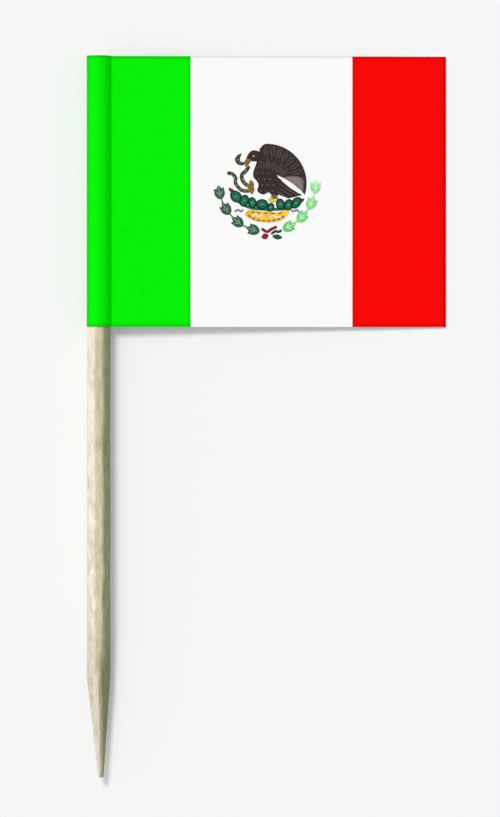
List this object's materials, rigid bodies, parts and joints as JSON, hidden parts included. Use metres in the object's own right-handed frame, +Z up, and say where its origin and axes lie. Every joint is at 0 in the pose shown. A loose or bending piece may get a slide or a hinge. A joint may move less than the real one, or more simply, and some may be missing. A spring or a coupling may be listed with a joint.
{
  "type": "flag toothpick",
  "caption": "Paper party flag in green, white and red bands with an eagle emblem, folded and glued round the flat end of a round wooden toothpick with a sharpened point.",
  "frame": {"origin": "middle of the lying part's footprint, on the surface it rests on", "axes": "+X across the flag from its folded edge to its free edge, +Y along the stick from its point to its flat end, +Z up out of the flag's front face; the part lies face up as it comes to rest"},
  "size_m": [0.0324, 0.065, 0.0021],
  "materials": {
    "wood": "bare, sanded, with a fine straight grain",
    "paper": "smooth, matt, coated white",
    "green_ink": "matt printed ink on paper",
    "red_ink": "matt printed ink on paper",
    "eagle_ink": "matt printed ink on paper",
    "feather_ink": "matt printed ink on paper",
    "claw_ink": "matt printed ink on paper",
    "serpent_ink": "matt printed ink on paper",
    "cactus_ink": "matt printed ink on paper",
    "flower_ink": "matt printed ink on paper",
    "fruit_ink": "matt printed ink on paper",
    "islet_ink": "matt printed ink on paper",
    "water_ink": "matt printed ink on paper",
    "oak_ink": "matt printed ink on paper",
    "laurel_ink": "matt printed ink on paper",
    "red_bow_ink": "matt printed ink on paper",
    "green_bow_ink": "matt printed ink on paper"
  },
  "bodies": {
    "root": {"toothpick": "wood", "flag_paper": "paper", "green_band": "green_ink", "red_band": "red_ink", "eagle_print": "eagle_ink", "feather_print": "feather_ink", "claw_print": "claw_ink", "serpent_print": "serpent_ink", "cactus_print": "cactus_ink", "flower_print": "flower_ink", "fruit_print": "fruit_ink", "islet_print": "islet_ink", "water_print": "water_ink", "oak_print": "oak_ink", "laurel_print": "laurel_ink", "red_bow_print": "red_bow_ink", "green_bow_print": "green_bow_ink"}
  },
  "joints": []
}
